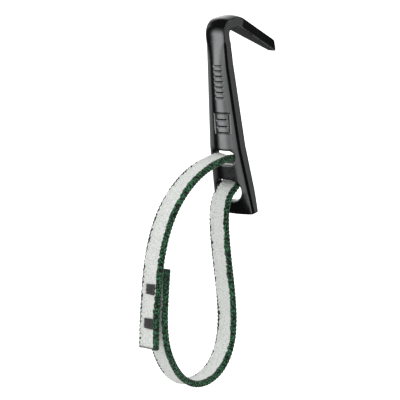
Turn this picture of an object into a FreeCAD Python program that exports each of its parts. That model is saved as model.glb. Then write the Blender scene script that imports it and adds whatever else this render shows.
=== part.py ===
import FreeCAD, Part
import math
import os
from FreeCAD import Vector

# Climbing hook with a sewn sling. Millimetres, +Z up, X across the hook.
# The origin is the middle of the small flat under the beak's tip, which stands on the rock edge.
# -Y is the climber's side and +Y is the rock's side.

# Steel strip and its bend over into the beak
STRIP_THICKNESS = 4.0       # of the bend and the beak
REACH = 37.8                # from the neck's front corners to the origin
CREST = 20.5                # height of the bend's outer corners
SHOULDER_RADIUS = 5.6       # outer radius of the first bend, from the shaft to level
BROW_RADIUS = 9.6           # outer radius of the second bend, from level down to the beak
BEAK_ANGLE = 32.0           # the beak's slope below level
TIP_FLAT = 1.2              # length of the flat under the tip
TIP_CUT_ANGLE = 11.0        # backward lean of the tip's end face
NECK_HALF_WIDTH = 4.65
TIP_HALF_WIDTH = 1.25
NECK_CROWN = 0.7            # how far the front face is crowned in its middle
TIP_CROWN = 0.3
SHARP_CORNER = 0.45         # corner radius of the bend and the beak

# Shaft: a strip rolled into a gutter, which widens and leans towards the rock at its foot.
# Each level: height, half width, lean of its front corners towards +Y, side depth and crown.
NOTCH_Z = 12.9              # where the flanges of the hollowed back begin
SHAFT_LEVELS = [
    (11.2, 4.75, 0.0, 4.3, 0.9),
    (3.0, 5.05, 0.0, 4.3, 1.9),
    (-31.0, 7.6, 0.0, 4.3, 2.9),
    (-50.0, 9.1, 1.9, 4.0, 3.4),
    (-60.0, 9.75, 2.7, 3.6, 2.0),
]
FOOT_Z = SHAFT_LEVELS[-1][0]
FOOT_HALF_WIDTH = SHAFT_LEVELS[-1][1]
ROLLED_CORNER = 1.4         # corner radius of the shaft's front
BACK_CORNER = 0.4           # corner radius along every back edge
FOOT_CORNER = 1.0           # corner radius of the foot, seen from the front

# Hollow back
FLANGE_WIDTH = 1.45
WEB_THICKNESS = 3.1         # left between the crowned front and the hollow
HOLLOW_START_Z = 10.0
HOLLOW_START_DEPTH = 0.15

# The flanges' backs are ground flat over the last level, where they bear on the rock.
SEAT_SHAVE = 0.15           # taken off at the foot, and nothing at the level above it

# Eyes for the sling, with the bridge between them: (top, bottom, half width, corner radius)
UPPER_EYE = (-32.0, -38.0, 5.5, 2.5)
LOWER_EYE = (-44.6, -54.0, 6.3, 4.5)
BRIDGE_TOP = -37.0              # the bridge's back is dressed round between these heights
BRIDGE_BOTTOM = -46.6
BRIDGE_HALF_WIDTH = 5.5
BRIDGE_BACK_Y = -36.3           # middle of the rounded back
BRIDGE_RADIUS = 1.6
TOOL_FRONT_Y = -REACH - 8.0     # tools that cut through the shaft start here
TOOL_DEPTH = 20.0               # and run this far back
TOOL_MARGIN = 1.0               # how far a tool runs past the tool it shapes

# Plain stamped marks on the shaft's front
MARK_DEPTH = 0.25
MARK_LINE = 0.6
MARKS_MIDDLE_X = 1.4
FRAME_MARK = (-20.6, 3.6, 4.4)      # centre height, half width and half height
FRAME_BARS = (-1.4, 1.4)            # heights of its two bars from its centre
TICK_COUNT = 7
TICK_TOP_Z = 3.0
TICK_PITCH = 2.2
TICK_HALF_WIDTH = 1.8

# Sling tape: its centre line in the Y-Z plane, from the outer cut end to the inner one
TAPE_WIDTH = 9.2
TAPE_THICKNESS = 3.0
TAPE_ROUTE = [
    (-97.3, -96.4), (-95.8, -88.0), (-93.4, -78.5), (-90.7, -68.5), (-87.1, -59.2),
    (-81.9, -50.4), (-74.4, -43.0), (-64.6, -37.6), (-54.6, -35.0), (-45.6, -34.6),
    (-38.0, -35.0), (-33.9, -37.2), (-32.9, -41.5), (-33.7, -46.0), (-37.1, -48.2),
    (-41.8, -50.2), (-45.0, -55.4), (-46.3, -63.6), (-46.3, -77.0), (-45.8, -91.0),
    (-46.3, -103.4), (-49.3, -113.4), (-55.8, -120.4), (-65.0, -122.9), (-74.8, -121.0),
    (-83.0, -114.9), (-88.8, -106.6), (-91.8, -97.4), (-91.7, -88.0), (-89.7, -78.2),
    (-86.5, -66.4),
]
TACK_HEIGHTS = {"bar_tack_upper": -73.4, "bar_tack_lower": -86.4}
TACK_LENGTH = 4.0           # along the tape
TACK_HALF_WIDTH = 2.6
TACK_MIDDLE_X = 0.6         # the tacks sit a little off the tape's middle
TACK_PROUD = 0.3            # how far its stitches stand out of the tape


def arc(start, middle, end):
    return Part.Arc(start, middle, end).toShape()


def line(start, end):
    return Part.LineSegment(start, end).toShape()


def strip_section(half_width, depth, crown, front_corner, place):
    """Closed outline of the strip, with its back at depth 0 and a crowned, round-cornered front.

    place turns (across, depth) into a point in space.
    """
    crown_radius = (half_width ** 2 + crown ** 2) / (2 * crown)
    crown_centre = depth + crown - crown_radius
    corner_x = half_width - front_corner
    reach = crown_radius - front_corner
    corner_d = crown_centre + math.sqrt(reach ** 2 - corner_x ** 2)
    meet_angle = math.atan2(corner_d - crown_centre, corner_x)
    half_angle = meet_angle / 2

    def corner_point(side, angle):
        across = corner_x + front_corner * math.cos(angle)
        return place(side * across, corner_d + front_corner * math.sin(angle))

    back_mid = BACK_CORNER * (1 - math.sqrt(0.5))
    edges = [
        line(place(-half_width + BACK_CORNER, 0), place(half_width - BACK_CORNER, 0)),
        arc(place(half_width - BACK_CORNER, 0), place(half_width - back_mid, back_mid),
            place(half_width, BACK_CORNER)),
        line(place(half_width, BACK_CORNER), corner_point(1, 0)),
        arc(corner_point(1, 0), corner_point(1, half_angle), corner_point(1, meet_angle)),
        arc(corner_point(1, meet_angle), place(0, depth + crown), corner_point(-1, meet_angle)),
        arc(corner_point(-1, meet_angle), corner_point(-1, half_angle), corner_point(-1, 0)),
        line(corner_point(-1, 0), place(-half_width, BACK_CORNER)),
        arc(place(-half_width, BACK_CORNER), place(-half_width + back_mid, back_mid),
            place(-half_width + BACK_CORNER, 0)),
    ]
    return Part.Wire(edges)


def level_section(z, half_width, lean, depth, crown, front_corner):
    back_y = -REACH + lean + depth
    return strip_section(half_width, depth, crown, front_corner,
                         lambda across, d: Vector(across, back_y - d, z))


def neck_section(z):
    return level_section(z, NECK_HALF_WIDTH, 0.0, STRIP_THICKNESS, NECK_CROWN, SHARP_CORNER)


def make_shaft():
    sections = [neck_section(CREST - SHOULDER_RADIUS), neck_section(NOTCH_Z)]
    sections += [level_section(*level, ROLLED_CORNER) for level in SHAFT_LEVELS]
    return round_foot(Part.makeLoft(sections, True, True))


def round_foot(shaft):
    """Round the foot's two lower corners, as seen from the front."""
    size = FOOT_CORNER
    for side in (-1, 1):
        inner_x = side * (FOOT_HALF_WIDTH - size)
        low_x = min(inner_x, inner_x + side * 2 * size)
        block = Part.makeBox(2 * size, TOOL_DEPTH, 2 * size, Vector(low_x, TOOL_FRONT_Y, FOOT_Z - size))
        barrel_start = Vector(inner_x, TOOL_FRONT_Y - TOOL_MARGIN, FOOT_Z + size)
        barrel = Part.makeCylinder(size, TOOL_DEPTH + 2 * TOOL_MARGIN, barrel_start, Vector(0, 1, 0))
        shaft = shaft.cut(block.cut(barrel))
    return shaft


def make_bend_and_beak():
    """The strip's two bends and its tapered, sloping beak."""
    slope = math.radians(BEAK_ANGLE)
    neck_top = CREST - SHOULDER_RADIUS
    shoulder_y = -REACH + SHOULDER_RADIUS
    # The beak's underside meets the tip's flat at its inner end.
    upper_at_origin = STRIP_THICKNESS / math.cos(slope) - TIP_FLAT / 2 * math.tan(slope)
    brow_z = CREST - BROW_RADIUS
    tangent_z = brow_z + BROW_RADIUS * math.cos(slope)
    tangent_y = -(tangent_z - upper_at_origin) / math.tan(slope)
    brow_y = tangent_y - BROW_RADIUS * math.sin(slope)

    neck = Part.Face(neck_section(neck_top))
    shoulder = neck.revolve(Vector(0, shoulder_y, neck_top), Vector(-1, 0, 0), 90)
    level = strip_section(NECK_HALF_WIDTH, STRIP_THICKNESS, NECK_CROWN, SHARP_CORNER,
                          lambda across, d: Vector(across, shoulder_y, CREST - STRIP_THICKNESS + d))
    flat = Part.Face(level).extrude(Vector(0, brow_y - shoulder_y, 0))
    brow_face = Part.Face(level)
    brow_face.translate(Vector(0, brow_y - shoulder_y, 0))
    brow = brow_face.revolve(Vector(0, brow_y, brow_z), Vector(-1, 0, 0), BEAK_ANGLE)

    along = Vector(0, math.cos(slope), -math.sin(slope))
    outward = Vector(0, math.sin(slope), math.cos(slope))
    inner_start = Vector(0, brow_y, brow_z) + outward * (BROW_RADIUS - STRIP_THICKNESS)
    length = (TIP_FLAT / 2 - inner_start.y) / math.cos(slope) + STRIP_THICKNESS

    def sloped_section(distance):
        part = distance / length
        half_width = NECK_HALF_WIDTH + (TIP_HALF_WIDTH - NECK_HALF_WIDTH) * part
        crown = NECK_CROWN + (TIP_CROWN - NECK_CROWN) * part
        base = inner_start + along * distance
        return strip_section(half_width, STRIP_THICKNESS, crown, SHARP_CORNER,
                             lambda across, d: base + outward * d + Vector(across, 0, 0))

    beak = Part.makeLoft([sloped_section(0), sloped_section(length)], True, True)
    size = TOOL_DEPTH
    past_tip = Part.makeBox(size, size, 2 * size, Vector(-size / 2, TIP_FLAT / 2, -size))
    past_tip.rotate(Vector(0, TIP_FLAT / 2, 0), Vector(1, 0, 0), TIP_CUT_ANGLE)
    under_tip = Part.makeBox(size, size, size, Vector(-size / 2, -size / 2, -size))
    beak = beak.cut(past_tip).cut(under_tip)
    return [shoulder, flat, brow, beak]


def make_hollow():
    """Tool that hollows the shaft's back between its two flanges."""
    def hollow_section(z, half_width, lean, side_depth, hollow_depth):
        half = half_width - FLANGE_WIDTH
        back_y = -REACH + lean + side_depth
        left = Vector(-half, back_y, z)
        right = Vector(half, back_y, z)
        clear = Vector(0, 2 * TOOL_MARGIN, 0)
        return Part.Wire([
            arc(left, Vector(0, back_y - hollow_depth, z), right),
            line(right, right + clear),
            line(right + clear, left + clear),
            line(left + clear, left),
        ])

    top = SHAFT_LEVELS[0]
    sections = [hollow_section(HOLLOW_START_Z, top[1], top[2], top[3], HOLLOW_START_DEPTH)]
    for z, half_width, lean, depth, crown in SHAFT_LEVELS[1:]:
        sections.append(hollow_section(z, half_width, lean, depth, depth + crown - WEB_THICKNESS))
    # The hollow runs on below the foot.
    last = sections[-1].copy()
    last.translate(Vector(0, 0, -TOOL_MARGIN))
    return Part.makeLoft(sections + [last], True, True)


def make_seat():
    """Tool that grinds the flanges' backs flat near the foot."""
    level_z, _, lean, depth, _ = SHAFT_LEVELS[-2]
    _, _, foot_lean, foot_depth, _ = SHAFT_LEVELS[-1]
    top = Vector(0, -REACH + lean + depth, level_z)
    foot_y = -REACH + foot_lean + foot_depth - SEAT_SHAVE
    slope = math.degrees(math.atan2(foot_y - top.y, level_z - FOOT_Z))
    size = TOOL_DEPTH
    block = Part.makeBox(size, size, size, Vector(-size / 2, top.y, level_z - size))
    block.rotate(top, Vector(1, 0, 0), slope)
    print("seat slope %.2f degrees from upright" % slope)
    return block


def eye_tool(top, bottom, half_width, radius):
    """Round-cornered bar through the shaft, from front to back."""
    bar = Part.makeBox(2 * half_width, TOOL_DEPTH, top - bottom, Vector(-half_width, TOOL_FRONT_Y, bottom))
    corners = [edge for edge in bar.Edges if edge.BoundBox.YLength > TOOL_DEPTH / 2]
    return bar.makeFillet(radius, corners)


def outline_bar(centre_x, centre_z, half_width, half_height):
    """Bar along Y through the shaft, for a stamped mark."""
    corner = Vector(centre_x - half_width, TOOL_FRONT_Y, centre_z - half_height)
    return Part.makeBox(2 * half_width, TOOL_DEPTH, 2 * half_height, corner)


def round_bridge(body):
    """Dress the bridge between the eyes round at the back, where the tape bears on it."""
    height = BRIDGE_TOP - BRIDGE_BOTTOM
    back_y = BRIDGE_BACK_Y - BRIDGE_RADIUS
    block = Part.makeBox(2 * BRIDGE_HALF_WIDTH, TOOL_DEPTH, height,
                         Vector(-BRIDGE_HALF_WIDTH, back_y, BRIDGE_BOTTOM))
    bar = Part.makeBox(4 * BRIDGE_HALF_WIDTH, BRIDGE_BACK_Y - TOOL_FRONT_Y, UPPER_EYE[1] - LOWER_EYE[0],
                       Vector(-2 * BRIDGE_HALF_WIDTH, TOOL_FRONT_Y, LOWER_EYE[0]))
    back_edges = [edge for edge in bar.Edges
                  if edge.BoundBox.XLength > BRIDGE_HALF_WIDTH and edge.BoundBox.YMax > BRIDGE_BACK_Y - 0.1]
    return body.cut(block.cut(bar.makeFillet(BRIDGE_RADIUS, back_edges)))


def stamp_marks(body, blank):
    """Press the plain marks into the front face to one depth, following its crown."""
    centre, half_width, half_height = FRAME_MARK
    frame = outline_bar(MARKS_MIDDLE_X, centre, half_width, half_height)
    inside = outline_bar(MARKS_MIDDLE_X, centre, half_width - MARK_LINE, half_height - MARK_LINE)
    frame = frame.cut(inside)
    marks = [frame]
    for offset in FRAME_BARS:
        marks.append(outline_bar(MARKS_MIDDLE_X, centre + offset, half_width - 2 * MARK_LINE, MARK_LINE / 2))
    for number in range(TICK_COUNT):
        height = TICK_TOP_Z - number * TICK_PITCH
        marks.append(outline_bar(MARKS_MIDDLE_X, height, TICK_HALF_WIDTH, MARK_LINE / 2))
    floor = blank.copy()
    floor.translate(Vector(0, MARK_DEPTH, 0))
    for mark in marks:
        body = body.cut(mark.cut(floor))
    return body


def make_hook():
    shaft = make_shaft()
    body = shaft.multiFuse(make_bend_and_beak()).removeSplitter()
    body = body.cut(make_hollow()).cut(make_seat())
    for eye in (UPPER_EYE, LOWER_EYE):
        body = body.cut(eye_tool(*eye))
    body = round_bridge(body)
    return stamp_marks(body, shaft)


def route_corners(points):
    """Each inner point's tangent lengths and arc radius, as large as its two runs allow."""
    corners = []
    for before, here, after in zip(points, points[1:], points[2:]):
        run_in = here - before
        run_out = after - here
        turn = run_in.getAngle(run_out)
        cut = 0.45 * min(run_in.Length, run_out.Length)
        corners.append((here, run_in.normalize(), run_out.normalize(), cut, cut / math.tan(turn / 2)))
    return corners


def offset_edges(points, offset):
    """The route's runs and tangent arcs, moved sideways by offset, as edges in order."""
    def side_of(direction):
        return Vector(0, -direction.z, direction.y) * offset

    first_run = (points[1] - points[0]).normalize()
    position = points[0] + side_of(first_run)
    edges = []
    for here, run_in, run_out, cut, radius in route_corners(points):
        start = here - run_in * cut + side_of(run_in)
        end = here + run_out * cut + side_of(run_out)
        bisector = (run_out - run_in).normalize()
        half_turn = run_in.getAngle(run_out) / 2
        centre = here + bisector * (radius / math.cos(half_turn))
        arm = radius - offset * math.copysign(1, side_of(run_in) * bisector * offset)
        middle = centre - bisector * arm
        edges.append(line(position, start))
        edges.append(arc(start, middle, end))
        position = end
    last_run = (points[-1] - points[-2]).normalize()
    edges.append(line(position, points[-1] + side_of(last_run)))
    return edges


def make_tape(points):
    """Flat tape of constant width and thickness along the route."""
    half = TAPE_THICKNESS / 2
    left = offset_edges(points, half)
    right = offset_edges(points, -half)
    start_cap = line(right[0].valueAt(right[0].FirstParameter), left[0].valueAt(left[0].FirstParameter))
    end_cap = line(left[-1].valueAt(left[-1].LastParameter), right[-1].valueAt(right[-1].LastParameter))
    outline = Part.Wire(left + [end_cap] + right[::-1] + [start_cap])
    tape = Part.Face(outline).extrude(Vector(TAPE_WIDTH, 0, 0))
    tape.translate(Vector(-TAPE_WIDTH / 2, 0, 0))
    return tape


def route_at_height(points, z):
    """Point and direction where a stretch of the route passes a height."""
    for start, end in zip(points, points[1:]):
        if min(start.z, end.z) <= z < max(start.z, end.z):
            return start + (end - start) * ((z - start.z) / (end.z - start.z)), (end - start).normalize()
    raise ValueError("the route does not reach this height")


def make_tack(points, height):
    """Block of stitching through both layers of the overlap."""
    outer, direction = route_at_height(points[:5], height)
    inner, _ = route_at_height(points[-5:], height)
    through = Vector(0, direction.z, -direction.y)
    depth = abs((inner - outer) * through) + TAPE_THICKNESS + 2 * TACK_PROUD
    middle = (outer + inner) * 0.5
    block = Part.makeBox(2 * TACK_HALF_WIDTH, depth, TACK_LENGTH,
                         Vector(TACK_MIDDLE_X - TACK_HALF_WIDTH, -depth / 2, -TACK_LENGTH / 2))
    block.rotate(Vector(0, 0, 0), Vector(1, 0, 0), math.degrees(math.atan2(-direction.y, direction.z)))
    block.translate(middle)
    return block


def check_tape(tape, points):
    corners = route_corners(points)
    radii = [corner[4] for corner in corners]
    print("tape arc radii, mm:", [round(radius, 1) for radius in radii])
    length = sum((b - a).Length for a, b in zip(points, points[1:]))
    for _, run_in, run_out, cut, radius in corners:
        length += radius * run_in.getAngle(run_out) - 2 * cut
    print("tape length %.1f mm, section times length %.0f mm3, volume %.0f mm3"
          % (length, length * TAPE_WIDTH * TAPE_THICKNESS, tape.Volume))


os.makedirs("parts", exist_ok=True)
route = [Vector(0, y, z) for y, z in TAPE_ROUTE]
nodes = {"hook_body": make_hook(), "webbing_loop": make_tape(route)}
check_tape(nodes["webbing_loop"], route)
for name, height in TACK_HEIGHTS.items():
    nodes[name] = make_tack(route, height)
    nodes["webbing_loop"] = nodes["webbing_loop"].cut(nodes[name])

for name, shape in nodes.items():
    shape.exportStep("parts/%s.step" % name)
    box = shape.BoundBox
    print("%s: valid %s, solids %d, volume %.0f mm3, x %.1f to %.1f, y %.1f to %.1f, z %.1f to %.1f"
          % (name, shape.isValid(), len(shape.Solids), shape.Volume,
             box.XMin, box.XMax, box.YMin, box.YMax, box.ZMin, box.ZMax))
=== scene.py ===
# %% [markdown]
# # A climbing hook with a sewn sling
# The real object is two things: one strip of black steel, forged and bent over into a beak, and one
# length of narrow woven tape that passes through two eyes in the steel and is sewn into a loop. The CAD
# model fixes every size and place. This lesson gives it its looks: rounded, lightly worn steel, tape with
# a rope-like selvedge on each side, and the threads of the bar tacks. Each step says what the real thing
# is and why it is made this way.

# %% Load the frame
import math

import bpy
import bmesh
import numpy as np
from mathutils import Matrix, Vector


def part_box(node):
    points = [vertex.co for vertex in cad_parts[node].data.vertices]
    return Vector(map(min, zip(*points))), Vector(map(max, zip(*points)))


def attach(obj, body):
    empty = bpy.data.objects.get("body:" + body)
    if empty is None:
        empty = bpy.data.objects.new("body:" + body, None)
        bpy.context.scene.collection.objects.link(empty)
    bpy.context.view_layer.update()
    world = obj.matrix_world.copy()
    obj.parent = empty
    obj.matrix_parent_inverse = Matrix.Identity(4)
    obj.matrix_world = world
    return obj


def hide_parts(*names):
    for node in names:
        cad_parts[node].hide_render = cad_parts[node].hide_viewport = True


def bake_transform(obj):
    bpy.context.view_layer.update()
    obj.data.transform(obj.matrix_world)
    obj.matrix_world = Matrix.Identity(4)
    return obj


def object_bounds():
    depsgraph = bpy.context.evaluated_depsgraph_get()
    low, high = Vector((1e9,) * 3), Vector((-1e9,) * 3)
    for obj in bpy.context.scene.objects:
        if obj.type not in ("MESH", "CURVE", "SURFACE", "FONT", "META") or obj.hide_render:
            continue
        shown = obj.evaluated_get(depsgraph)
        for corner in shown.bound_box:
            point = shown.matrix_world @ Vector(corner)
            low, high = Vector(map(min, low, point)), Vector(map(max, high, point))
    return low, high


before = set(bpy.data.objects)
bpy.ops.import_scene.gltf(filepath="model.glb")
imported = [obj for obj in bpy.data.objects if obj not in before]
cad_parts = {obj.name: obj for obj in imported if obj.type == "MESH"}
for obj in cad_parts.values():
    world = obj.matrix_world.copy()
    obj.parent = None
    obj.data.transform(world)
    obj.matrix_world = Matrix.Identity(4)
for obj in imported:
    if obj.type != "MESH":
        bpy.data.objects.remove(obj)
cad_low, cad_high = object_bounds()
MM = 0.001

# %% [markdown]
# ## Camera
# The object is about 15 cm long, so the camera stands 70 cm away with a long lens, which keeps the
# perspective gentle. It looks from the climber's side, above and to the right, and is rolled a little, so
# that the shaft leans. A matrix of three unit vectors says this without any constraint.

# %% Make the camera
CAMERA_AZIMUTH = math.radians(39.0)
CAMERA_ELEVATION = math.radians(18.0)
CAMERA_ROLL = math.radians(5.5)
CAMERA_DISTANCE = 0.70
CAMERA_LENS = 151.2
CAMERA_AIM = Vector((-0.0166, -0.0364, -0.0564))


def camera_axes(azimuth, elevation, roll):
    """The camera's right, up and backward directions."""
    back = Vector((math.sin(azimuth) * math.cos(elevation), -math.cos(azimuth) * math.cos(elevation),
                   math.sin(elevation)))
    level_right = Vector((math.cos(azimuth), math.sin(azimuth), 0))
    level_up = back.cross(level_right)
    right = level_right * math.cos(roll) - level_up * math.sin(roll)
    up = level_up * math.cos(roll) + level_right * math.sin(roll)
    return right, up, back


right, up, back = camera_axes(CAMERA_AZIMUTH, CAMERA_ELEVATION, CAMERA_ROLL)
camera = bpy.data.objects.new("camera", bpy.data.cameras.new("camera"))
camera.data.lens = CAMERA_LENS
camera_turn = Matrix((right, up, back)).transposed().to_4x4()
camera.matrix_world = Matrix.Translation(CAMERA_AIM + back * CAMERA_DISTANCE) @ camera_turn
bpy.context.scene.collection.objects.link(camera)
bpy.context.scene.camera = camera
print("camera at", [round(x, 3) for x in camera.matrix_world.translation])

# %% [markdown]
# ## The sling's line
# The tape's own line is a smooth curve through the air. The points are the route of the CAD model's tape,
# in metres, from the outer cut end, through the upper eye, round the bridge, out of the lower eye and
# round the bottom of the loop to the inner cut end. They are the control points of a NURBS spline, which
# stays smooth where straight runs with small arcs would look like bent wire. The mesh of the tape follows
# points read from it.

# %% Draw the route as a spline
TAPE_ROUTE = [
    (0, -0.0973, -0.0964), (0, -0.0958, -0.0880), (0, -0.0934, -0.0785), (0, -0.0907, -0.0685),
    (0, -0.0871, -0.0592), (0, -0.0819, -0.0504), (0, -0.0744, -0.0430), (0, -0.0646, -0.0376),
    (0, -0.0546, -0.0350), (0, -0.0456, -0.0346), (0, -0.0380, -0.0350), (0, -0.0339, -0.0372),
    (0, -0.0329, -0.0415), (0, -0.0337, -0.0460), (0, -0.0371, -0.0482), (0, -0.0418, -0.0502),
    (0, -0.0450, -0.0554), (0, -0.0463, -0.0636), (0, -0.0463, -0.0770), (0, -0.0458, -0.0910),
    (0, -0.0463, -0.1034), (0, -0.0493, -0.1134), (0, -0.0558, -0.1204), (0, -0.0650, -0.1229),
    (0, -0.0748, -0.1210), (0, -0.0830, -0.1149), (0, -0.0888, -0.1066), (0, -0.0918, -0.0974),
    (0, -0.0917, -0.0880), (0, -0.0897, -0.0782), (0, -0.0865, -0.0664),
]
RINGS_PER_RUN = 40


def spline_points(points, steps):
    """Points along the smooth line of a NURBS spline with these control points."""
    curve = bpy.data.curves.new("route", "CURVE")
    curve.dimensions = "3D"
    spline = curve.splines.new("NURBS")
    spline.points.add(len(points) - 1)
    for point, place in zip(spline.points, points):
        point.co = (*place, 1)
    spline.order_u = 3
    spline.use_endpoint_u = True
    spline.resolution_u = steps
    holder = bpy.data.objects.new("route", curve)
    bpy.context.scene.collection.objects.link(holder)
    bpy.context.view_layer.update()
    line = bpy.data.meshes.new_from_object(holder.evaluated_get(bpy.context.evaluated_depsgraph_get()))
    places = np.array([vertex.co for vertex in line.vertices])
    bpy.data.objects.remove(holder)
    bpy.data.meshes.remove(line)
    return places


tape_line = spline_points(TAPE_ROUTE, RINGS_PER_RUN)
tape_steps = np.linalg.norm(np.diff(tape_line, axis=0), axis=1)
tape_along = np.concatenate([[0], np.cumsum(tape_steps)])
TAPE_LENGTH = float(tape_along[-1])
print("tape: %d rings, %.1f mm long" % (len(tape_line), TAPE_LENGTH / MM))

# %% [markdown]
# The two layers of the overlap don't lie exactly in line on the real sling. So the inner one, on its last
# few centimetres, drifts smoothly to one side by a millimetre.

# %% Set the inner layer of the overlap a little to one side
OVERLAP_SHIFT = 1.0 * MM
SHIFT_BEFORE_END = 60 * MM
SHIFT_REACH = 25 * MM
shift_share = np.clip((tape_along - TAPE_LENGTH + SHIFT_BEFORE_END) / SHIFT_REACH, 0, 1)
tape_line[:, 0] += OVERLAP_SHIFT * shift_share ** 2 * (3 - 2 * shift_share)
print("inner cut end at x = %.1f mm" % (tape_line[-1, 0] / MM))

# %% [markdown]
# ## Floor and light
# The setting is a plain studio: a pale floor that runs out of sight and soft light from everywhere. Black
# steel shows what surrounds it, so for its reflections the world holds soft white panels with dark gaps
# between them, as a product photographer sets panels and black cards round a glossy thing. Cloth and
# floor get even light.

# %% Helper for shader and geometry trees
def link_nodes(tree, source, target):
    """Join an output socket to an input socket, each given as (node, socket name or number)."""
    tree.links.new(source[0].outputs[source[1]], target[0].inputs[target[1]])


def add_node(tree, kind, values=None, **settings):
    """A node with its settings and with constants for its inputs."""
    node = tree.nodes.new(kind)
    for name, value in settings.items():
        setattr(node, name, value)
    for key, value in (values or {}).items():
        node.inputs[key].default_value = value
    return node


def add_math(tree, operation, first, second=None, third=None):
    """A Math node whose inputs are numbers or (node, socket) pairs. Returns (node, 0)."""
    node = add_node(tree, "ShaderNodeMath", operation=operation)
    for number, value in enumerate((first, second, third)):
        if isinstance(value, tuple):
            link_nodes(tree, value, (node, number))
        elif value is not None:
            node.inputs[number].default_value = value
    return node, 0


def add_smooth_step(tree, value, low, high):
    """0 below low and 1 above high, smooth between them."""
    node = add_node(tree, "ShaderNodeMapRange", interpolation_type="SMOOTHSTEP")
    link_nodes(tree, value, (node, "Value"))
    node.inputs["From Min"].default_value = low
    node.inputs["From Max"].default_value = high
    return node, "Result"


# %% Make the floor
FLOOR_GAP = 0.05
FLOOR_HALF = 6.0
FLOOR_GLOW = 0.6
floor_z = cad_low.z - FLOOR_GAP
floor_corners = [(x * FLOOR_HALF, y * FLOOR_HALF, floor_z) for x, y in ((-1, -1), (1, -1), (1, 1), (-1, 1))]
floor_mesh = bpy.data.meshes.new("floor")
floor_mesh.from_pydata(floor_corners, [], [(0, 1, 2, 3)])
floor = bpy.data.objects.new("floor", floor_mesh)
bpy.context.scene.collection.objects.link(floor)
floor_material = bpy.data.materials.new("pale_floor")
floor_material.use_nodes = True
floor_shader = floor_material.node_tree.nodes["Principled BSDF"]
floor_shader.inputs["Base Color"].default_value = (0.9, 0.9, 0.9, 1)
floor_shader.inputs["Roughness"].default_value = 0.9
floor_shader.inputs["Emission Color"].default_value = (1, 1, 1, 1)
floor_shader.inputs["Emission Strength"].default_value = FLOOR_GLOW
floor_mesh.materials.append(floor_material)
floor.visible_glossy = False
floor.visible_diffuse = False

# %% Make the world with its soft panels
# Each panel: middle azimuth, half width and edge softness, then lowest and highest elevation with the
# softness of each, all in degrees, and its brightness. Azimuth 0 is the climber's side (-Y) and 90 is +X.
PANELS = [
    (-24, 18, 10, -20, 2, 26, 22, 1.1),
    (-12, 28, 6, -20, 3, 14, 16, 1.0),
    (26, 12, 5, -28, 4, 6, 14, 0.95),
    (-110, 36, 6, -14, 14, 32, 10, 1.0),
    (-148, 16, 12, -25, 12, 40, 8, 0.3),
    (139, 7, 3, -50, 25, 40, 10, 0.47),
    (-135, 14, 6, -60, 8, -20, 6, 0.07),
]
DARK_ROOM = 0.02
EVEN_LIGHT = 0.95


def panel_mask(tree, azimuth, elevation, panel):
    """1 inside a soft-edged panel of the sky and 0 outside it."""
    middle, half_width, side_soft, low, low_soft, high, high_soft, _ = panel
    offset = add_math(tree, "WRAP", add_math(tree, "SUBTRACT", azimuth, middle), 180.0, -180.0)
    beyond = add_smooth_step(tree, add_math(tree, "ABSOLUTE", offset), half_width - side_soft,
                             half_width + side_soft)
    over_low = add_smooth_step(tree, elevation, low - low_soft, low + low_soft)
    over_high = add_smooth_step(tree, elevation, high - high_soft, high + high_soft)
    between = add_math(tree, "SUBTRACT", over_low, over_high)
    return add_math(tree, "MULTIPLY", add_math(tree, "SUBTRACT", 1.0, beyond), between)


def make_world():
    world = bpy.data.worlds.new("studio")
    world.use_nodes = True
    tree = world.node_tree
    tree.nodes.clear()
    output = add_node(tree, "ShaderNodeOutputWorld")
    direction = add_node(tree, "ShaderNodeTexCoord")
    parts = add_node(tree, "ShaderNodeSeparateXYZ")
    link_nodes(tree, (direction, "Generated"), (parts, 0))
    minus_y = add_math(tree, "MULTIPLY", (parts, "Y"), -1.0)
    azimuth = add_math(tree, "MULTIPLY", add_math(tree, "ARCTAN2", (parts, "X"), minus_y), 180.0 / math.pi)
    elevation = add_math(tree, "MULTIPLY", add_math(tree, "ARCSINE", (parts, "Z")), 180.0 / math.pi)
    total = DARK_ROOM
    for panel in PANELS:
        bright = add_math(tree, "MULTIPLY", panel_mask(tree, azimuth, elevation, panel), panel[-1])
        total = add_math(tree, "ADD", bright, total)
    rays = add_node(tree, "ShaderNodeLightPath")
    reflected = add_node(tree, "ShaderNodeBackground", {"Color": (1, 1, 1, 1)})
    link_nodes(tree, total, (reflected, "Strength"))
    even = add_node(tree, "ShaderNodeBackground", {"Color": (1, 1, 1, 1), "Strength": EVEN_LIGHT})
    choice = add_node(tree, "ShaderNodeMixShader")
    link_nodes(tree, (rays, "Is Glossy Ray"), (choice, 0))
    link_nodes(tree, (even, 0), (choice, 1))
    link_nodes(tree, (reflected, 0), (choice, 2))
    link_nodes(tree, (choice, 0), (output, "Surface"))
    bpy.context.scene.world = world


make_world()
bpy.context.scene.view_settings.view_transform = "Standard"

# %% Add one large soft lamp
LAMP_POWER = 3.0
LAMP_SIZE = 0.8
LAMP_PLACE = (-0.5, -0.7, 0.9)
LAMP_AIM = Vector((0, -0.05, -0.05))
lamp = bpy.data.objects.new("lamp", bpy.data.lights.new("lamp", "AREA"))
lamp.data.shape = "DISK"
lamp.data.size = LAMP_SIZE
lamp.data.energy = LAMP_POWER
lamp.location = LAMP_PLACE
lamp.rotation_euler = (LAMP_AIM - lamp.location).to_track_quat("-Z", "Y").to_euler()
lamp.visible_glossy = False
bpy.context.scene.collection.objects.link(lamp)
print("floor at", round(floor_z, 4), "panels", len(PANELS))

# %% [markdown]
# ## Shared effects as node groups
# Two finishes need the same kind of fine variation, so it is built once as a group with named inputs: a
# soft mottling, from 0 to 1, made from two sizes of noise. The steel uses it for its uneven oxide, and
# the thread for its uneven dye. A group puts out only a mask, and each material decides what the mask
# does.

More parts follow.
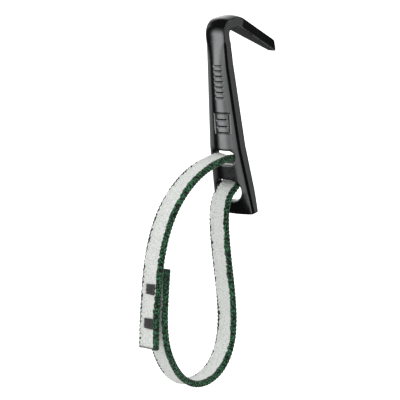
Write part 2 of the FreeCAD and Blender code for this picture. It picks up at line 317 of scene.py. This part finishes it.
# %% Make the mottling group
def make_group(name, inputs, outputs):
    group = bpy.data.node_groups.new(name, "ShaderNodeTree")
    for label, kind, value in inputs:
        socket = group.interface.new_socket(label, in_out="INPUT", socket_type=kind)
        if value is not None:
            socket.default_value = value
    for label, kind in outputs:
        group.interface.new_socket(label, in_out="OUTPUT", socket_type=kind)
    return group, add_node(group, "NodeGroupInput"), add_node(group, "NodeGroupOutput")


def make_mottling():
    group, source, result = make_group(
        "mottling",
        [("Vector", "NodeSocketVector", None), ("Large Scale", "NodeSocketFloat", 100.0),
         ("Small Scale", "NodeSocketFloat", 900.0), ("Small Share", "NodeSocketFloat", 0.4)],
        [("Mask", "NodeSocketFloat")])
    large = add_node(group, "ShaderNodeTexNoise", {"Detail": 3.0})
    small = add_node(group, "ShaderNodeTexNoise", {"Detail": 4.0})
    for noise, scale in ((large, "Large Scale"), (small, "Small Scale")):
        link_nodes(group, (source, "Vector"), (noise, "Vector"))
        link_nodes(group, (source, scale), (noise, "Scale"))
    mix = add_node(group, "ShaderNodeMix", data_type="FLOAT")
    link_nodes(group, (source, "Small Share"), (mix, "Factor"))
    link_nodes(group, (large, 0), (mix, 2))
    link_nodes(group, (small, 0), (mix, 3))
    link_nodes(group, (mix, 0), (result, "Mask"))
    return group


MOTTLING = make_mottling()


def add_mottling(tree, vector, large, small, share):
    node = add_node(tree, "ShaderNodeGroup", node_tree=MOTTLING)
    node.inputs["Large Scale"].default_value = large
    node.inputs["Small Scale"].default_value = small
    node.inputs["Small Share"].default_value = share
    link_nodes(tree, vector, (node, "Vector"))
    return node, "Mask"


def new_material(name):
    material = bpy.data.materials.new(name)
    material.use_nodes = True
    return material, material.node_tree, material.node_tree.nodes["Principled BSDF"]


def add_ramp(tree, value, stops):
    """A colour ramp with (position, colour) stops."""
    ramp = add_node(tree, "ShaderNodeValToRGB")
    elements = ramp.color_ramp.elements
    while len(elements) < len(stops):
        elements.new(0.5)
    for element, (place, colour) in zip(elements, stops):
        element.position = place
        element.color = (*colour, 1)
    link_nodes(tree, value, (ramp, "Fac"))
    return ramp, "Color"


def add_bump(tree, height, strength, distance):
    bump = add_node(tree, "ShaderNodeBump", {"Strength": strength, "Distance": distance})
    link_nodes(tree, height, (bump, "Height"))
    return bump, "Normal"


# %% [markdown]
# ## The steel hook
# The real hook is forged and then tumbled, so no edge is sharp: the eyes have round lips, and the beak's
# edges are eased. Rounding each edge by hand is slow work, and a bevel trips where surfaces with many
# facets meet. So a copy of the CAD mesh is rebuilt as an even skin of small faces (a voxel remesh) and
# smoothed a little, which eases every edge alike, as tumbling does. The plain stamped marks are in the
# CAD mesh and stay as they are.

# %% Rebuild the hook as an even skin
HOOK_VOXEL = 0.22 * MM
HOOK_SMOOTHING = 5
MERGE_DISTANCE = 0.001 * MM


def merged_copy(node, name):
    """A copy of a CAD node's mesh as one joined surface."""
    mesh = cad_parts[node].data.copy()
    mesh.name = name
    work = bmesh.new()
    work.from_mesh(mesh)
    bmesh.ops.remove_doubles(work, verts=work.verts, dist=MERGE_DISTANCE)
    work.to_mesh(mesh)
    work.free()
    mesh.materials.clear()
    piece = bpy.data.objects.new(name, mesh)
    bpy.context.scene.collection.objects.link(piece)
    return piece


def apply_modifiers(piece):
    """Turn the piece and its modifiers into a plain mesh."""
    bpy.context.view_layer.update()
    made = bpy.data.meshes.new_from_object(piece.evaluated_get(bpy.context.evaluated_depsgraph_get()))
    piece.modifiers.clear()
    piece.data = made
    return piece


def mesh_arrays(mesh):
    """Vertex places and edges as arrays."""
    places = np.empty(len(mesh.vertices) * 3)
    mesh.vertices.foreach_get("co", places)
    edges = np.empty(len(mesh.edges) * 2, dtype=np.int64)
    mesh.edges.foreach_get("vertices", edges)
    return places.reshape(-1, 3), edges.reshape(-1, 2)


def neighbour_mean(values, edges):
    """For each vertex, the mean of a value over its neighbours."""
    total = np.zeros_like(values)
    count = np.zeros(len(values))
    for here, there in ((0, 1), (1, 0)):
        np.add.at(total, edges[:, here], values[edges[:, there]])
        np.add.at(count, edges[:, here], 1)
    return total / count.reshape((-1,) + (1,) * (values.ndim - 1))


hook = merged_copy("hook_body", "hook")
remesh = hook.modifiers.new("even_skin", "REMESH")
remesh.mode = "VOXEL"
remesh.voxel_size = HOOK_VOXEL
apply_modifiers(hook)
hook_places, hook_edges = mesh_arrays(hook.data)
for _ in range(HOOK_SMOOTHING):
    hook_places = 0.5 * hook_places + 0.5 * neighbour_mean(hook_places, hook_edges)
hook.data.vertices.foreach_set("co", hook_places.ravel())
hook.data.update()
print("hook skin: %d faces" % len(hook.data.polygons))

# %% Measure where the steel's edges stand out
EDGE_SPREAD = 4


def vertex_normals(mesh):
    normals = np.empty(len(mesh.vertices) * 3)
    mesh.vertices.foreach_get("normal", normals)
    return normals.reshape(-1, 3)


def convexity(mesh, spread):
    """How far each vertex stands out of its neighbours, from 0 to 1, spread over a few rings."""
    places, edges = mesh_arrays(mesh)
    smooth = places
    for _ in range(spread):
        smooth = neighbour_mean(smooth, edges)
    standing = np.einsum("ij,ij->i", places - smooth, vertex_normals(mesh))
    return np.clip(standing / np.percentile(standing, 99), 0, 1)


# Mask of the edges that stand out, used for real wear and for a painted highlight on them
edge_wear_and_highlight = hook.data.attributes.new("edge_wear_and_highlight", "FLOAT", "POINT")
edge_wear_and_highlight.data.foreach_set("value", convexity(hook.data, EDGE_SPREAD).astype(np.float32))
hook.data.shade_smooth()
for corner in (hook_places.min(0), hook_places.max(0)):
    print("hook box corner", [round(x / MM, 1) for x in corner])

# %% [markdown]
# ## Black steel
# The finish is a thin black oxide, half glossy, over steel. It is a metal with a dark colour, so it shows
# the studio's panels as soft grey bands with black between them. Fine noise makes the bands uneven, as
# forging does. The edges that stand out are lighter and less metallic. This is partly real wear and partly
# a painted highlight for the light lines they catch. Everything reads the object's own coordinates.

# %% Make the black steel
OXIDE_LARGE, OXIDE_SMALL, OXIDE_SMALL_SHARE = 90.0, 900.0, 0.35
OXIDE_DARK = (0.118, 0.121, 0.123)
OXIDE_LIGHT = (0.150, 0.152, 0.153)
# Colour and loss of metal on the standing edges: real wear, and partly a painted highlight
WORN_AND_HIGHLIGHT_COLOUR = (0.26, 0.27, 0.275, 1)
WORN_AND_HIGHLIGHT_METALLIC_LOSS = 0.4
SMOOTHEST, ROUGHEST = 0.14, 0.23
GRAIN_SCALE = 1600.0
GRAIN_DEPTH = 0.05 * MM


def make_black_steel():
    material, tree, shader = new_material("black_steel")
    place = add_node(tree, "ShaderNodeTexCoord")
    mottled = add_mottling(tree, (place, "Object"), OXIDE_LARGE, OXIDE_SMALL, OXIDE_SMALL_SHARE)
    # Painted highlight with real wear: standing edges, broken by the mottling, turn lighter and less
    # metallic
    wear_and_highlight = add_node(tree, "ShaderNodeAttribute", attribute_name="edge_wear_and_highlight")
    broken_wear_and_highlight = add_math(tree, "MULTIPLY", (wear_and_highlight, "Fac"), add_smooth_step(tree, mottled, 0.35, 0.6))
    worn_and_highlight = add_smooth_step(tree, broken_wear_and_highlight, 0.3, 1.0)
    oxide = add_ramp(tree, mottled, [(0.3, OXIDE_DARK), (0.7, OXIDE_LIGHT)])
    colour = add_node(tree, "ShaderNodeMix", data_type="RGBA")
    link_nodes(tree, worn_and_highlight, (colour, "Factor"))
    link_nodes(tree, oxide, (colour, 6))
    colour.inputs[7].default_value = WORN_AND_HIGHLIGHT_COLOUR
    link_nodes(tree, (colour, 2), (shader, "Base Color"))
    metal = add_math(tree, "MULTIPLY_ADD", worn_and_highlight, -WORN_AND_HIGHLIGHT_METALLIC_LOSS, 1.0)
    link_nodes(tree, metal, (shader, "Metallic"))
    rough = add_node(tree, "ShaderNodeMapRange", {"To Min": SMOOTHEST, "To Max": ROUGHEST})
    link_nodes(tree, mottled, (rough, "Value"))
    link_nodes(tree, (rough, "Result"), (shader, "Roughness"))
    grain = add_node(tree, "ShaderNodeTexNoise", {"Scale": GRAIN_SCALE, "Detail": 3.0})
    link_nodes(tree, (place, "Object"), (grain, "Vector"))
    link_nodes(tree, add_bump(tree, (grain, 0), 0.10, GRAIN_DEPTH), (shader, "Normal"))
    return material


hook.data.materials.append(make_black_steel())
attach(hook, "hook")
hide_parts("hook_body")

# %% [markdown]
# ## The tape
# The tape is woven flat, with a thick cord of green yarn bound into each side. Its cross-section is a
# flat middle between two round selvedges, swept along the route. Each ring of the sweep keeps the tape's
# own straightened coordinates (across, along and through) as an attribute, so the weave follows the tape
# round every bend. The selvedge's twist and the cross ribs are real relief in the mesh, and only the
# finest yarn is bump.

# %% Draw the tape's cross-section
TAPE_HALF_WIDTH = 4.65 * MM
SELVEDGE_RADIUS = 1.35 * MM
FACE_HALF_THICKNESS = 0.95 * MM
SELVEDGE_STEPS = 18
FACE_STEPS = 12


def tape_section():
    """The cross-section's points: (across, through, angle round the selvedge, or None on a face)."""
    middle = TAPE_HALF_WIDTH - SELVEDGE_RADIUS
    meet = math.pi - math.asin(FACE_HALF_THICKNESS / SELVEDGE_RADIUS)
    points = []
    for side in (1, -1):
        for step in range(SELVEDGE_STEPS + 1):
            angle = -meet + 2 * meet * step / SELVEDGE_STEPS
            across = side * (middle + SELVEDGE_RADIUS * math.cos(angle))
            points.append((across, side * SELVEDGE_RADIUS * math.sin(angle), angle))
        edge = middle + SELVEDGE_RADIUS * math.cos(meet)
        for step in range(1, FACE_STEPS):
            share = 1 - 2 * step / FACE_STEPS
            points.append((side * edge * share, side * FACE_HALF_THICKNESS, None))
    return points


section = tape_section()
print("tape section: %d points" % len(section))

# %% Sweep the section along the route
SELVEDGE_PITCH = 1.7 * MM
SELVEDGE_RELIEF = 0.10 * MM
RIB_PITCH = 1.25 * MM
RIB_RELIEF = 0.035 * MM
SELVEDGE_TWIST = 1.5
END_LENGTH = 0.8 * MM
END_THICKNESS = 0.86     # of the full thickness, where the end was sealed
END_NARROWING = 0.03
ACROSS = np.array([1.0, 0.0, 0.0])


def line_tangents(line):
    tangents = np.gradient(line, axis=0)
    return tangents / np.linalg.norm(tangents, axis=1)[:, None]


def outward_normals(tangents):
    """The side of the tape that faces out of the loop."""
    normals = np.cross(tangents, ACROSS)
    return -normals / np.linalg.norm(normals, axis=1)[:, None]


def relief(across, angle, along):
    """How far the yarns stand out at a place on the tape."""
    if angle is None:
        return RIB_RELIEF * math.sin(2 * math.pi * along / RIB_PITCH)
    fade = math.cos(angle / 2) ** 0.5
    turn = 2 * math.pi * along / SELVEDGE_PITCH + SELVEDGE_TWIST * angle * math.copysign(1, across)
    return SELVEDGE_RELIEF * fade * math.sin(turn)


def make_tape(name):
    tangents = line_tangents(tape_line)
    normals = outward_normals(tangents)
    vertices, tape_places = [], []
    for number, here in enumerate(tape_line):
        along = float(tape_along[number])
        end_gap = min(along, TAPE_LENGTH - along)
        pinch = END_THICKNESS + (1 - END_THICKNESS) * min(1.0, end_gap / END_LENGTH) ** 0.5
        for across, through, angle in section:
            lift = relief(across, angle, along)
            if angle is None:
                out_across, out_through = 0.0, math.copysign(1, through)
            else:
                side = math.copysign(1, across)
                out_across = side * math.cos(angle)
                out_through = side * math.sin(angle)
            a = (across + out_across * lift) * (1 - END_NARROWING + END_NARROWING * pinch)
            t = (through + out_through * lift) * pinch
            vertices.append(here + ACROSS * a + normals[number] * t)
            tape_places.append((a / MM, along / MM, t / MM))
    ring = len(section)
    faces = []
    for number in range(len(tape_line) - 1):
        for step in range(ring):
            following = (step + 1) % ring
            low, high = number * ring, (number + 1) * ring
            faces.append((low + step, low + following, high + following, high + step))
    last = (len(tape_line) - 1) * ring
    faces.append(tuple(reversed(range(ring))))
    faces.append(tuple(last + step for step in range(ring)))
    mesh = bpy.data.meshes.new(name)
    mesh.from_pydata([tuple(v) for v in vertices], [], faces)
    attribute = mesh.attributes.new("tape_place", "FLOAT_VECTOR", "POINT")
    attribute.data.foreach_set("vector", np.array(tape_places, dtype=np.float32).ravel())
    work = bmesh.new()
    work.from_mesh(mesh)
    bmesh.ops.recalc_face_normals(work, faces=work.faces)
    work.to_mesh(mesh)
    work.free()
    mesh.shade_smooth()
    piece = bpy.data.objects.new(name, mesh)
    bpy.context.scene.collection.objects.link(piece)
    return piece


tape = make_tape("tape")
print("tape: %d faces" % len(tape.data.polygons))

# %% [markdown]
# ## Woven cloth
# The faces are off-white yarn with faint cross ribs. The selvedges are green, with a dark tracer yarn
# among them, which shows as scattered flecks. The green on the -X selvedge is mixed most of the way to
# near-black, a painted shade on that side. All of it is worked out from the tape's own coordinates, in
# millimetres. The cut ends were sealed with a flame, so their last millimetre is darker and a little
# pinched.

# %% Make the webbing cloth
NEAR_GREEN_START = 2.75     # mm from the tape's middle, on the +X side
FAR_GREEN_START = 3.35      # and on the -X side
GREEN_SOFT = 0.12
FINE_WANDER, FINE_WANDER_SCALE = 2.4, 0.7       # mm by which the green's boundary wanders
SLOW_WANDER, SLOW_WANDER_SCALE = 1.8, 0.09
TRACER_PITCH = 1.5
TRACER_SLANT = 1.1
TRACER_ORDER = 0.03      # how far the flecks keep to their pitch
GREEN_YARN = (0.030, 0.190, 0.070)
DEEP_GREEN = (0.012, 0.070, 0.030)
TRACER_BLACK = (0.002, 0.006, 0.004)
# Painted shade on the -X selvedge: its green is mixed this far towards this near-black
FAR_SHADED_GREEN = (0.004, 0.014, 0.009, 1)
FAR_SHADE_SHARE = 0.7
CROSS_YARN_PITCH = 0.62
WARP_YARN_PITCH = 0.5
GREY_SPECK = (0.38, 0.40, 0.39)
DULL_WHITE = (0.64, 0.665, 0.635)
CLEAN_WHITE = (0.82, 0.835, 0.805)
SEALED_FROM, SEALED_TO = 0.35, 1.3
SEALED_SHARE = 0.75
SEALED_COLOUR = (0.02, 0.035, 0.025, 1)
YARN_DEPTH = 0.12 * MM


def make_webbing():
    material, tree, shader = new_material("webbing")
    place = add_node(tree, "ShaderNodeAttribute", attribute_name="tape_place")
    parts = add_node(tree, "ShaderNodeSeparateXYZ")
    link_nodes(tree, (place, "Vector"), (parts, 0))

    def noise(scale, detail):
        node = add_node(tree, "ShaderNodeTexNoise", {"Scale": scale, "Detail": detail})
        link_nodes(tree, (place, "Vector"), (node, "Vector"))
        return node, 0

    def add_wave(value, pitch):
        return add_math(tree, "SINE", add_math(tree, "MULTIPLY", value, 2 * math.pi / pitch))

    # Green selvedges with an uneven inner boundary
    far_side = add_math(tree, "LESS_THAN", (parts, "X"), 0.0)
    across = add_math(tree, "ABSOLUTE", (parts, "X"))
    across = add_math(tree, "MULTIPLY_ADD", far_side, NEAR_GREEN_START - FAR_GREEN_START, across)
    across = add_math(tree, "MULTIPLY_ADD", noise(FINE_WANDER_SCALE, 1.0), FINE_WANDER, across)
    across = add_math(tree, "MULTIPLY_ADD", noise(SLOW_WANDER_SCALE, 0.0), SLOW_WANDER, across)
    edge = add_math(tree, "SUBTRACT", across, (FINE_WANDER + SLOW_WANDER) / 2)
    green = add_smooth_step(tree, edge, NEAR_GREEN_START - GREEN_SOFT, NEAR_GREEN_START + GREEN_SOFT)

    # Black tracer flecks among the green yarns
    slant = add_math(tree, "MULTIPLY_ADD", (parts, "Z"), TRACER_SLANT, (parts, "Y"))
    wave = add_wave(slant, TRACER_PITCH)
    scattered = add_math(tree, "MULTIPLY_ADD", wave, TRACER_ORDER, noise(1.5, 2.0))
    fleck = add_smooth_step(tree, scattered, 0.42, 0.50)
    greens = add_ramp(tree, fleck, [(0.0, GREEN_YARN), (0.5, DEEP_GREEN), (1.0, TRACER_BLACK)])
    # Painted shade: the green of the -X selvedge is darkened towards near-black
    shaded_far_side = add_node(tree, "ShaderNodeMix", data_type="RGBA")
    link_nodes(tree, add_math(tree, "MULTIPLY", far_side, FAR_SHADE_SHARE), (shaded_far_side, "Factor"))
    link_nodes(tree, greens, (shaded_far_side, 6))
    shaded_far_side.inputs[7].default_value = FAR_SHADED_GREEN

    # Off-white weave: fine crossed yarn with faint ribs and grey specks
    cross = add_wave((parts, "Y"), CROSS_YARN_PITCH)
    warp = add_wave((parts, "X"), WARP_YARN_PITCH)
    weave = add_math(tree, "MULTIPLY", cross, warp)
    speckle = noise(2.4, 3.0)
    tone = add_math(tree, "MULTIPLY_ADD", weave, 0.08, speckle)
    tone = add_math(tree, "MULTIPLY_ADD", cross, 0.04, tone)
    whites = add_ramp(tree, tone, [(0.30, GREY_SPECK), (0.42, DULL_WHITE), (0.70, CLEAN_WHITE)])
    colour = add_node(tree, "ShaderNodeMix", data_type="RGBA")
    link_nodes(tree, green, (colour, "Factor"))
    link_nodes(tree, whites, (colour, 6))
    link_nodes(tree, (shaded_far_side, 2), (colour, 7))

    # Sealed ends
    to_inner_end = add_math(tree, "SUBTRACT", TAPE_LENGTH / MM, (parts, "Y"))
    from_end = add_math(tree, "MINIMUM", (parts, "Y"), to_inner_end)
    sealed = add_math(tree, "SUBTRACT", 1.0, add_smooth_step(tree, from_end, SEALED_FROM, SEALED_TO))
    burnt = add_node(tree, "ShaderNodeMix", data_type="RGBA")
    link_nodes(tree, add_math(tree, "MULTIPLY", sealed, SEALED_SHARE), (burnt, "Factor"))
    link_nodes(tree, (colour, 2), (burnt, 6))
    burnt.inputs[7].default_value = SEALED_COLOUR
    link_nodes(tree, (burnt, 2), (shader, "Base Color"))
    shader.inputs["Roughness"].default_value = 0.75
    shader.inputs["Sheen Weight"].default_value = 0.15
    height = add_math(tree, "MULTIPLY_ADD", weave, 0.4, speckle)
    link_nodes(tree, add_bump(tree, height, 0.5, YARN_DEPTH), (shader, "Normal"))
    return material


tape.data.materials.append(make_webbing())

# %% [markdown]
# ## Stitching
# A bar tack is a dense zigzag of dark thread through both layers, and a line of plain stitches joins the
# two tacks. Every stitch is the same little arch of thread, repeated, so Geometry Nodes makes them: one
# tree takes a line on the tape's face, puts points on it, and stands an arch at each, turned across or
# along the tape. Its inputs are named, and its small unevenness has a fixed seed. The result is turned
# into a plain mesh.

# %% Build the stitch tree
def new_tree_socket(tree, name, kind, in_out="INPUT", value=None):
    socket = tree.interface.new_socket(name, in_out=in_out, socket_type=kind)
    if value is not None:
        socket.default_value = value
    return socket


def make_stitch_tree():
    tree = bpy.data.node_groups.new("stitch_row", "GeometryNodeTree")
    new_tree_socket(tree, "Geometry", "NodeSocketGeometry")
    new_tree_socket(tree, "Count", "NodeSocketInt", value=10)
    new_tree_socket(tree, "Stitch Length", "NodeSocketFloat", value=2 * MM)
    new_tree_socket(tree, "Thread Radius", "NodeSocketFloat", value=0.15 * MM)
    new_tree_socket(tree, "Rise", "NodeSocketFloat", value=0.2 * MM)
    new_tree_socket(tree, "Turn", "NodeSocketFloat", value=0.0)
    new_tree_socket(tree, "Zigzag", "NodeSocketFloat", value=0.0)
    new_tree_socket(tree, "Unevenness", "NodeSocketFloat", value=0.1)
    new_tree_socket(tree, "Seed", "NodeSocketInt", value=1)
    new_tree_socket(tree, "Material", "NodeSocketMaterial")
    new_tree_socket(tree, "Geometry", "NodeSocketGeometry", in_out="OUTPUT")
    source = add_node(tree, "NodeGroupInput")
    result = add_node(tree, "NodeGroupOutput")

    line = add_node(tree, "GeometryNodeMeshToCurve")
    points = add_node(tree, "GeometryNodeCurveToPoints", mode="COUNT")
    link_nodes(tree, (source, "Geometry"), (line, "Mesh"))
    link_nodes(tree, (line, "Curve"), (points, "Curve"))
    link_nodes(tree, (source, "Count"), (points, "Count"))

    # One arch of thread
    half = add_node(tree, "ShaderNodeMath", {1: 0.5}, operation="MULTIPLY")
    minus = add_node(tree, "ShaderNodeMath", {1: -0.5}, operation="MULTIPLY")
    for node in (half, minus):
        link_nodes(tree, (source, "Stitch Length"), (node, 0))
    twice = add_node(tree, "ShaderNodeMath", {1: 2.0}, operation="MULTIPLY")
    link_nodes(tree, (source, "Rise"), (twice, 0))
    start = add_node(tree, "ShaderNodeCombineXYZ")
    top = add_node(tree, "ShaderNodeCombineXYZ")
    end = add_node(tree, "ShaderNodeCombineXYZ")
    link_nodes(tree, (minus, 0), (start, "X"))
    link_nodes(tree, (twice, 0), (top, "Z"))
    link_nodes(tree, (half, 0), (end, "X"))
    arch = add_node(tree, "GeometryNodeCurveQuadraticBezier", {"Resolution": 8})
    link_nodes(tree, (start, 0), (arch, "Start"))
    link_nodes(tree, (top, 0), (arch, "Middle"))
    link_nodes(tree, (end, 0), (arch, "End"))
    round_thread = add_node(tree, "GeometryNodeCurvePrimitiveCircle", {"Resolution": 6})
    link_nodes(tree, (source, "Thread Radius"), (round_thread, "Radius"))
    thread = add_node(tree, "GeometryNodeCurveToMesh", {"Fill Caps": True})
    link_nodes(tree, (arch, 0), (thread, "Curve"))
    link_nodes(tree, (round_thread, 0), (thread, "Profile Curve"))

    # Each arch lies flat on the tape: its X runs across and its Y along the line
    align = add_node(tree, "FunctionNodeAlignRotationToVector", axis="Y", pivot_axis="X")
    link_nodes(tree, (points, "Tangent"), (align, "Vector"))
    index = add_node(tree, "GeometryNodeInputIndex")
    odd = add_node(tree, "ShaderNodeMath", {1: 2.0}, operation="MODULO")
    link_nodes(tree, (index, 0), (odd, 0))
    signed = add_node(tree, "ShaderNodeMath", {1: 2.0, 2: -1.0}, operation="MULTIPLY_ADD")
    link_nodes(tree, (odd, 0), (signed, 0))
    zigzag = add_node(tree, "ShaderNodeMath", operation="MULTIPLY_ADD")
    link_nodes(tree, (signed, 0), (zigzag, 0))
    link_nodes(tree, (source, "Zigzag"), (zigzag, 1))
    link_nodes(tree, (source, "Turn"), (zigzag, 2))
    uneven = add_node(tree, "FunctionNodeRandomValue", data_type="FLOAT")
    link_nodes(tree, (source, "Seed"), (uneven, "Seed"))
    low = add_node(tree, "ShaderNodeMath", {1: -1.0}, operation="MULTIPLY")
    link_nodes(tree, (source, "Unevenness"), (low, 0))
    link_nodes(tree, (low, 0), (uneven, 2))
    link_nodes(tree, (source, "Unevenness"), (uneven, 3))
    total_turn = add_node(tree, "ShaderNodeMath", operation="ADD")
    link_nodes(tree, (zigzag, 0), (total_turn, 0))
    link_nodes(tree, (uneven, 1), (total_turn, 1))
    turned = add_node(tree, "FunctionNodeRotateRotation", rotation_space="LOCAL")
    spin = add_node(tree, "ShaderNodeCombineXYZ")
    link_nodes(tree, (total_turn, 0), (spin, "Z"))
    spin_rotation = add_node(tree, "FunctionNodeEulerToRotation")
    link_nodes(tree, (spin, 0), (spin_rotation, 0))
    link_nodes(tree, (align, 0), (turned, 0))
    link_nodes(tree, (spin_rotation, 0), (turned, 1))
    scale = add_node(tree, "ShaderNodeMath", {0: 1.0}, operation="SUBTRACT")
    link_nodes(tree, (uneven, 1), (scale, 1))

    placed = add_node(tree, "GeometryNodeInstanceOnPoints")
    link_nodes(tree, (points, "Points"), (placed, "Points"))
    link_nodes(tree, (thread, 0), (placed, "Instance"))
    link_nodes(tree, (turned, 0), (placed, "Rotation"))
    link_nodes(tree, (scale, 0), (placed, "Scale"))
    real = add_node(tree, "GeometryNodeRealizeInstances")
    finish = add_node(tree, "GeometryNodeSetMaterial")
    smooth = add_node(tree, "GeometryNodeSetShadeSmooth")
    link_nodes(tree, (placed, 0), (real, 0))
    link_nodes(tree, (real, 0), (smooth, 0))
    link_nodes(tree, (smooth, 0), (finish, "Geometry"))
    link_nodes(tree, (source, "Material"), (finish, "Material"))
    link_nodes(tree, (finish, 0), (result, 0))
    return tree


STITCH_TREE = make_stitch_tree()


DYE_DARK = (0.018, 0.019, 0.019)
DYE_LIGHT = (0.055, 0.056, 0.056)


def make_thread_material():
    material, tree, shader = new_material("thread")
    place = add_node(tree, "ShaderNodeTexCoord")
    mottled = add_mottling(tree, (place, "Object"), 900.0, 4000.0, 0.5)
    colour = add_ramp(tree, mottled, [(0.3, DYE_DARK), (0.7, DYE_LIGHT)])
    link_nodes(tree, colour, (shader, "Base Color"))
    shader.inputs["Roughness"].default_value = 0.55
    shader.inputs["Sheen Weight"].default_value = 0.2
    link_nodes(tree, add_bump(tree, mottled, 0.4, 0.00005), (shader, "Normal"))
    return material


THREAD = make_thread_material()


def stitch_row(name, line, **values):
    """A mesh of stitches along a line of points, made by the stitch tree."""
    mesh = bpy.data.meshes.new(name)
    mesh.from_pydata([tuple(p) for p in line], [(n, n + 1) for n in range(len(line) - 1)], [])
    piece = bpy.data.objects.new(name, mesh)
    bpy.context.scene.collection.objects.link(piece)
    modifier = piece.modifiers.new("stitches", "NODES")
    modifier.node_group = STITCH_TREE
    sockets = {item.name: item.identifier for item in STITCH_TREE.interface.items_tree
               if item.item_type == "SOCKET" and item.in_out == "INPUT"}
    for key, value in values.items():
        modifier[sockets[key.replace("_", " ").title()]] = value
    modifier[sockets["Material"]] = THREAD
    return apply_modifiers(piece)


# %% Place the stitches
TACK_LENGTH = 3.9 * MM
TACK_HALF_WIDTH = 2.4 * MM
TACK_LANES = (-0.7, 0.0, 0.7)       # of the stitches under the zigzag, as shares of its half width
SEAM_X = -3.2 * MM                  # the plain stitches run along this line
SEAM_REACH = 6.5 * MM               # and this far to each side of a tack's middle
SATIN_STITCHES, SATIN_RADIUS, SATIN_RISE = 16, 0.18 * MM, 0.22 * MM
UNDER_STITCHES, UNDER_RADIUS, UNDER_RISE = 2, 0.15 * MM, 0.08 * MM
SEAM_STITCHES, SEAM_RADIUS, SEAM_RISE = 7, 0.2 * MM, 0.15 * MM
SEAM_STITCH_LENGTH = 1.5 * MM
ALONG_THE_TAPE = math.pi / 2
LAYER_FACE = FACE_HALF_THICKNESS + 0.12 * MM
outer_end = len(tape_line) // 4
inner_start = 3 * len(tape_line) // 4


def face_line(numbers, side, x):
    """A line at one x on a face of the tape: side 1 is the outer face and -1 the inner one."""
    normals = outward_normals(line_tangents(tape_line))
    places = [tape_line[n] + normals[n] * side * LAYER_FACE for n in numbers]
    return [(x, place[1], place[2]) for place in places]


def rings_between(first, last, low, high):
    """The numbers of the rings in a stretch of the tape that lie between two heights."""
    return [n for n in range(first, last) if low <= tape_line[n][2] <= high]


def join_pieces(name, pieces):
    """One mesh from several pieces."""
    work = bmesh.new()
    for piece in pieces:
        work.from_mesh(piece.data)
    mesh = bpy.data.meshes.new(name)
    work.to_mesh(mesh)
    work.free()
    mesh.materials.append(THREAD)
    for piece in pieces:
        bpy.data.objects.remove(piece)
    joined = bpy.data.objects.new(name, mesh)
    bpy.context.scene.collection.objects.link(joined)
    return joined


def make_bar_tack(node, name, seed):
    low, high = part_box(node)
    middle_x = (low.x + high.x) / 2
    middle_z = (low.z + high.z) / 2
    made = []
    for side, first, last in ((1, 0, outer_end), (-1, inner_start, len(tape_line))):
        rings = rings_between(first, last, middle_z - TACK_LENGTH / 2, middle_z + TACK_LENGTH / 2)
        made.append(stitch_row(name + "_satin", face_line(rings, side, middle_x), count=SATIN_STITCHES,
                               stitch_length=2 * TACK_HALF_WIDTH, thread_radius=SATIN_RADIUS,
                               rise=SATIN_RISE, zigzag=0.05, unevenness=0.04, seed=seed))
        rings = rings_between(first, last, middle_z - TACK_LENGTH / 5, middle_z + TACK_LENGTH / 5)
        for lane in TACK_LANES:
            under = face_line(rings, side, middle_x + lane * TACK_HALF_WIDTH)
            made.append(stitch_row(name + "_under", under, count=UNDER_STITCHES,
                                   stitch_length=TACK_LENGTH / 2, thread_radius=UNDER_RADIUS,
                                   rise=UNDER_RISE, turn=ALONG_THE_TAPE, unevenness=0.04, seed=seed + 1))
        rings = rings_between(first, last, middle_z - SEAM_REACH, middle_z + SEAM_REACH)
        made.append(stitch_row(name + "_seam", face_line(rings, side, SEAM_X), count=SEAM_STITCHES,
                               stitch_length=SEAM_STITCH_LENGTH, thread_radius=SEAM_RADIUS,
                               rise=SEAM_RISE, turn=ALONG_THE_TAPE, unevenness=0.08, seed=seed + 2))
    piece = join_pieces(name, made)
    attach(piece, "sling")
    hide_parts(node)
    print(name, len(piece.data.polygons), "faces")
    return piece


upper_tack = make_bar_tack("bar_tack_upper", "upper_bar_tack", 3)
lower_tack = make_bar_tack("bar_tack_lower", "lower_bar_tack", 7)

# %% [markdown]
# ## The tape in reflections
# The tape is held by the bridge and swings below it. White cloth would brighten the black steel behind it,
# so reflections don't see it.

tape.visible_glossy = False
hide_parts("webbing_loop")
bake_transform(tape)
